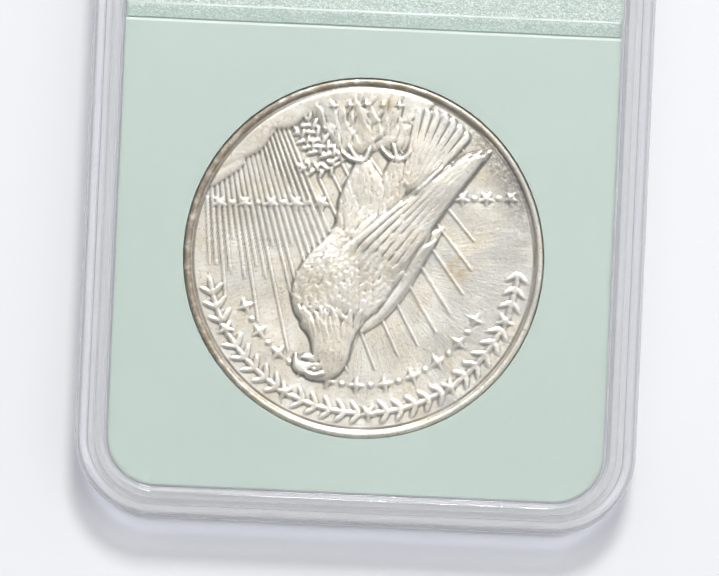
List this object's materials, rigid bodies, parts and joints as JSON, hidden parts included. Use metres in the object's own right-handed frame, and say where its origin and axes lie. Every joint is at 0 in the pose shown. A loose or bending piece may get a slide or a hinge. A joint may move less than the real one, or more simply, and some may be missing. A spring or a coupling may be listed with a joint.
{
  "type": "graded coin slab",
  "caption": "Sealed clear plastic holder with a raised stacking rim, around a pale green tray that holds a large silver coin and a label at each face.",
  "frame": {"origin": "middle of the face the slab lies on, which is the top plane of its front stacking rim", "axes": "+Z is the rear face's outward normal, so the slab lies on its front; +Y runs along the slab towards its label end; +X is to the right when the rear face is looked at with the label end up"},
  "size_m": [0.0594, 0.0826, 0.0075],
  "materials": {
    "front_shell_clear": "clear moulded polystyrene, polished",
    "rear_shell_clear": "clear moulded polystyrene, polished",
    "tray_plastic": "pale green, fine satin",
    "coin_metal": "struck silver, lustrous, lightly toned at the edge",
    "rear_label_foil": "pale green security film with a fine speckle",
    "front_label_paper": "plain coated paper"
  },
  "bodies": {
    "root": {"front_shell": "front_shell_clear", "rear_shell": "rear_shell_clear", "coin_tray": "tray_plastic", "coin": "coin_metal", "rear_label": "rear_label_foil", "front_label": "front_label_paper"}
  },
  "joints": []
}
